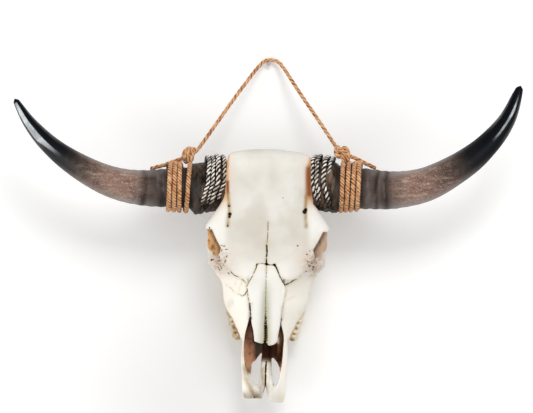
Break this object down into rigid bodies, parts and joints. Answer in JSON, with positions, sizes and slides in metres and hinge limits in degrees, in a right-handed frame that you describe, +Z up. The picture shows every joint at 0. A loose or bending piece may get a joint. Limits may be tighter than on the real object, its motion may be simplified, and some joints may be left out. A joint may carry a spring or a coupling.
{
  "type": "longhorn steer skull wall hanging",
  "caption": "Cast replica of a longhorn steer skull that hangs on a wall: sweeping dark horns, moulded rope bands round their bases, and a twisted cord to go over a nail.",
  "frame": {"origin": "the point on the wall plane under the hanging cord where it passes over its nail", "axes": "+X to the right as seen from the room, +Y into the wall, +Z up; the wall is the plane y = 0"},
  "size_m": [0.4788, 0.0898, 0.3248],
  "materials": {
    "painted_bone": "cast resin painted bone white, a dark wash in the sutures and pits, satin",
    "painted_tooth": "cast resin painted tan with brown streaks",
    "painted_horn": "cast resin air-brushed grey brown, pink brown half way and blue black at the tip, gloss",
    "moulded_rope": "cast resin rope, dark brown with its crests dry-brushed cream",
    "twine": "twisted tan cord, matt"
  },
  "bodies": {
    "root": {"cranium": "painted_bone", "zygomatic_arch_left": "painted_bone", "zygomatic_arch_right": "painted_bone", "maxilla_left": "painted_bone", "maxilla_right": "painted_bone", "nasal_left": "painted_bone", "nasal_right": "painted_bone", "premaxilla_left": "painted_bone", "premaxilla_right": "painted_bone", "teeth_left": "painted_tooth", "teeth_right": "painted_tooth", "horn_left": "painted_horn", "horn_right": "painted_horn", "rope_band_left": "moulded_rope", "rope_band_right": "moulded_rope", "cord_left_inner": "twine", "cord_left_outer": "twine", "cord_right_turns": "twine", "knot_left": "twine", "knot_right": "twine", "cord_tail_left": "twine", "cord_tail_right": "twine", "hanging_cord": "twine"}
  },
  "joints": []
}
